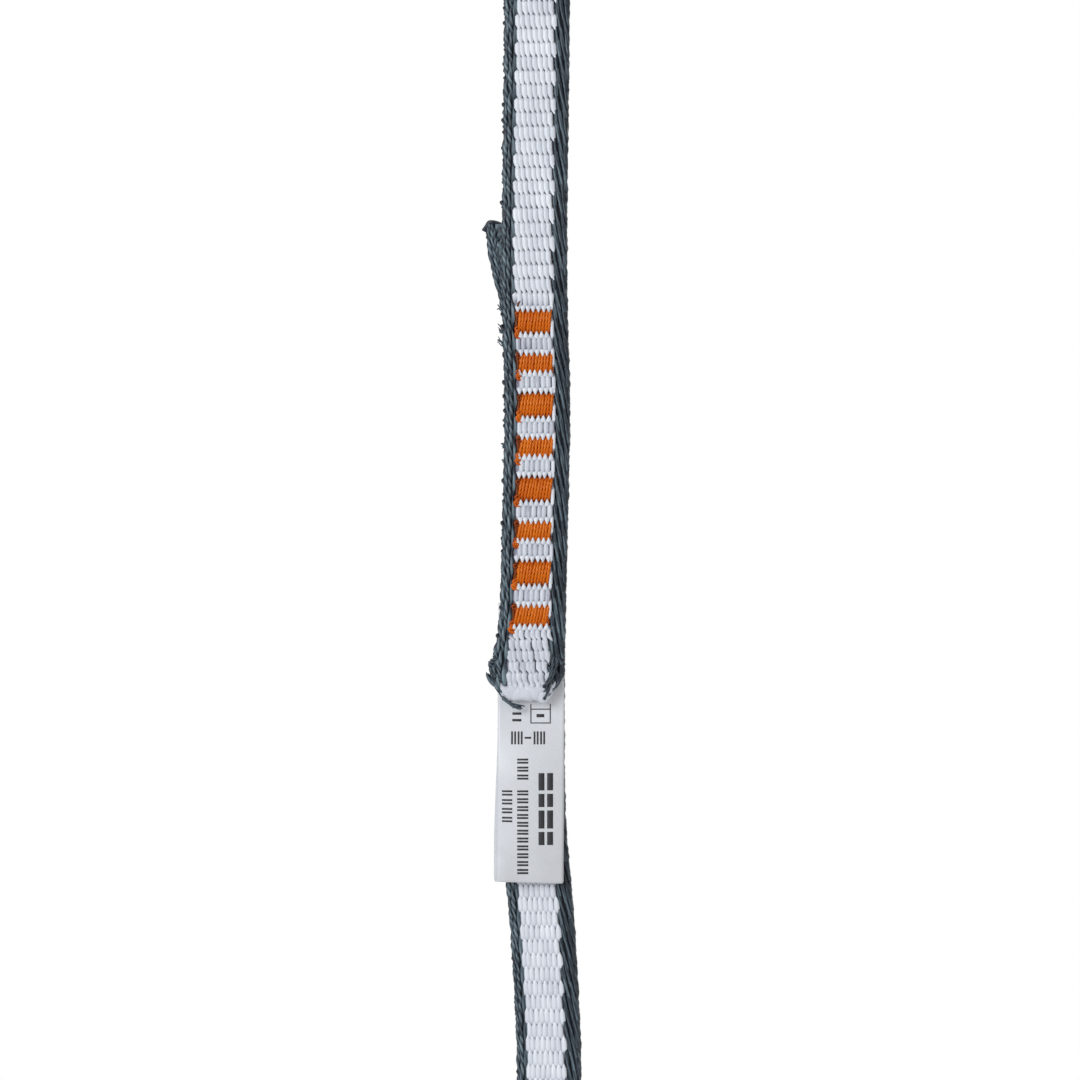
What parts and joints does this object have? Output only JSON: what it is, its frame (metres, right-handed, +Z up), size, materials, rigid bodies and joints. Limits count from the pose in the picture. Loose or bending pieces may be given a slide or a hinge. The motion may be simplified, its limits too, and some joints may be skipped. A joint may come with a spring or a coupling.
{
  "type": "sewn climbing sling",
  "caption": "Narrow flat climbing sling sewn into a loop, with a bar-tacked lap splice, contrast selvages and a folded care label.",
  "frame": {"origin": "axis of the upper bight, in the middle of the webbing's width", "axes": "+Z up along the hanging loop, +X along the carabiner bar across the webbing, -Y out of the face that carries the label"},
  "size_m": [0.0091, 0.0174, 0.304],
  "materials": {
    "core_yarn": "undyed polyethylene filament, soft sheen",
    "selvage_yarn": "slate dyed filament, dull sheen",
    "tack_thread": "orange bonded polyester thread, satin",
    "label_tape": "white satin tape"
  },
  "bodies": {
    "splice": {"core_front_layer": "core_yarn", "selvages_front_layer": "selvage_yarn", "core_rear_layer": "core_yarn", "selvages_rear_layer": "selvage_yarn", "label_sewn_end": "label_tape", "bar_tack_1": "tack_thread", "bar_tack_2": "tack_thread", "bar_tack_3": "tack_thread", "bar_tack_4": "tack_thread", "bar_tack_5": "tack_thread", "bar_tack_6": "tack_thread", "bar_tack_7": "tack_thread", "bar_tack_8": "tack_thread"},
    "front_tail": {"core_front_tail": "core_yarn", "selvages_front_tail": "selvage_yarn"},
    "rear_tail": {"core_rear_tail": "core_yarn", "selvages_rear_tail": "selvage_yarn"},
    "label": {"label_flap": "label_tape"},
    "upper_front_1": {"core_upper_front_1": "core_yarn", "selvages_upper_front_1": "selvage_yarn"},
    "upper_front_2": {"core_upper_front_2": "core_yarn", "selvages_upper_front_2": "selvage_yarn"},
    "upper_front_3": {"core_upper_front_3": "core_yarn", "selvages_upper_front_3": "selvage_yarn"},
    "upper_bight": {"core_upper_bight": "core_yarn", "selvages_upper_bight": "selvage_yarn"},
    "upper_rear_3": {"core_upper_rear_3": "core_yarn", "selvages_upper_rear_3": "selvage_yarn"},
    "upper_rear_2": {"core_upper_rear_2": "core_yarn", "selvages_upper_rear_2": "selvage_yarn"},
    "upper_rear_1": {"core_upper_rear_1": "core_yarn", "selvages_upper_rear_1": "selvage_yarn"},
    "upper_rear_middle": {"core_upper_rear_middle": "core_yarn", "selvages_upper_rear_middle": "selvage_yarn"},
    "lower_front_1": {"core_lower_front_1": "core_yarn", "selvages_lower_front_1": "selvage_yarn"},
    "lower_front_2": {"core_lower_front_2": "core_yarn", "selvages_lower_front_2": "selvage_yarn"},
    "lower_front_3": {"core_lower_front_3": "core_yarn", "selvages_lower_front_3": "selvage_yarn"},
    "lower_bight": {"core_lower_bight": "core_yarn", "selvages_lower_bight": "selvage_yarn"},
    "lower_rear_3": {"core_lower_rear_3": "core_yarn", "selvages_lower_rear_3": "selvage_yarn"},
    "lower_rear_2": {"core_lower_rear_2": "core_yarn", "selvages_lower_rear_2": "selvage_yarn"},
    "lower_rear_1": {"core_lower_rear_1": "core_yarn", "selvages_lower_rear_1": "selvage_yarn"},
    "lower_rear_middle": {"core_lower_rear_middle": "core_yarn", "selvages_lower_rear_middle": "selvage_yarn"}
  },
  "joints": [
    {"name": "loop_open", "type": "hinge", "parent": "splice", "child": "upper_front_1", "pos_m": [0, -0.007, -0.104], "axis": [-1, 0, 0], "range_deg": [0, 15]},
    {"name": "upper_front_2_bend", "type": "hinge", "parent": "upper_front_1", "child": "upper_front_2", "pos_m": [0, -0.007, -0.06933], "axis": [-1, 0, 0], "range_deg": [0, 15]},
    {"name": "upper_front_3_bend", "type": "hinge", "parent": "upper_front_2", "child": "upper_front_3", "pos_m": [0, -0.007, -0.03467], "axis": [-1, 0, 0], "range_deg": [0, 15]},
    {"name": "upper_bight_bend", "type": "hinge", "parent": "upper_front_3", "child": "upper_bight", "pos_m": [0, -0.007, 0], "axis": [1, 0, 0], "range_deg": [0, 45]},
    {"name": "upper_rear_3_bend", "type": "hinge", "parent": "upper_bight", "child": "upper_rear_3", "pos_m": [0, 0.007, 0], "axis": [1, 0, 0], "range_deg": [0, 45]},
    {"name": "upper_rear_2_bend", "type": "hinge", "parent": "upper_rear_3", "child": "upper_rear_2", "pos_m": [0, 0.007, -0.03467], "axis": [-1, 0, 0], "range_deg": [0, 15]},
    {"name": "upper_rear_1_bend", "type": "hinge", "parent": "upper_rear_2", "child": "upper_rear_1", "pos_m": [0, 0.007, -0.06933], "axis": [-1, 0, 0], "range_deg": [0, 15]},
    {"name": "upper_rear_middle_bend", "type": "hinge", "parent": "upper_rear_1", "child": "upper_rear_middle", "pos_m": [0, 0.007, -0.104], "axis": [-1, 0, 0], "range_deg": [0, 15]},
    {"name": "lower_front_1_bend", "type": "hinge", "parent": "splice", "child": "lower_front_1", "pos_m": [0, -0.007, -0.184], "axis": [1, 0, 0], "range_deg": [0, 15]},
    {"name": "lower_front_2_bend", "type": "hinge", "parent": "lower_front_1", "child": "lower_front_2", "pos_m": [0, -0.007, -0.21867], "axis": [1, 0, 0], "range_deg": [0, 15]},
    {"name": "lower_front_3_bend", "type": "hinge", "parent": "lower_front_2", "child": "lower_front_3", "pos_m": [0, -0.007, -0.25333], "axis": [1, 0, 0], "range_deg": [0, 15]},
    {"name": "lower_bight_bend", "type": "hinge", "parent": "lower_front_3", "child": "lower_bight", "pos_m": [0, -0.007, -0.288], "axis": [-1, 0, 0], "range_deg": [0, 45]},
    {"name": "lower_rear_3_bend", "type": "hinge", "parent": "lower_bight", "child": "lower_rear_3", "pos_m": [0, 0.007, -0.288], "axis": [-1, 0, 0], "range_deg": [0, 45]},
    {"name": "lower_rear_2_bend", "type": "hinge", "parent": "lower_rear_3", "child": "lower_rear_2", "pos_m": [0, 0.007, -0.25333], "axis": [1, 0, 0], "range_deg": [0, 15]},
    {"name": "lower_rear_1_bend", "type": "hinge", "parent": "lower_rear_2", "child": "lower_rear_1", "pos_m": [0, 0.007, -0.21867], "axis": [1, 0, 0], "range_deg": [0, 15]},
    {"name": "lower_rear_middle_bend", "type": "hinge", "parent": "lower_rear_1", "child": "lower_rear_middle", "pos_m": [0, 0.007, -0.184], "axis": [1, 0, 0], "range_deg": [0, 15]},
    {"name": "label_lift", "type": "hinge", "parent": "splice", "child": "label", "pos_m": [0, -0.007, -0.17245], "axis": [-1, 0, 0], "range_deg": [0, 75]},
    {"name": "front_tail_lift", "type": "hinge", "parent": "splice", "child": "front_tail", "pos_m": [0, -0.00815, -0.16437], "axis": [-1, 0, 0], "range_deg": [0, 20]},
    {"name": "rear_tail_lift", "type": "hinge", "parent": "splice", "child": "rear_tail", "pos_m": [0, -0.00585, -0.12363], "axis": [-1, 0, 0], "range_deg": [0, 25]}
  ],
  "couplings": [
    {"joint": "upper_front_2_bend", "follows": "loop_open", "ratio": 1},
    {"joint": "upper_front_3_bend", "follows": "loop_open", "ratio": 1},
    {"joint": "upper_bight_bend", "follows": "loop_open", "ratio": 3},
    {"joint": "upper_rear_3_bend", "follows": "loop_open", "ratio": 3},
    {"joint": "upper_rear_2_bend", "follows": "loop_open", "ratio": 1},
    {"joint": "upper_rear_1_bend", "follows": "loop_open", "ratio": 1},
    {"joint": "upper_rear_middle_bend", "follows": "loop_open", "ratio": 1},
    {"joint": "lower_front_1_bend", "follows": "loop_open", "ratio": 1},
    {"joint": "lower_front_2_bend", "follows": "loop_open", "ratio": 1},
    {"joint": "lower_front_3_bend", "follows": "loop_open", "ratio": 1},
    {"joint": "lower_bight_bend", "follows": "loop_open", "ratio": 3},
    {"joint": "lower_rear_3_bend", "follows": "loop_open", "ratio": 3},
    {"joint": "lower_rear_2_bend", "follows": "loop_open", "ratio": 1},
    {"joint": "lower_rear_1_bend", "follows": "loop_open", "ratio": 1},
    {"joint": "lower_rear_middle_bend", "follows": "loop_open", "ratio": 1}
  ]
}
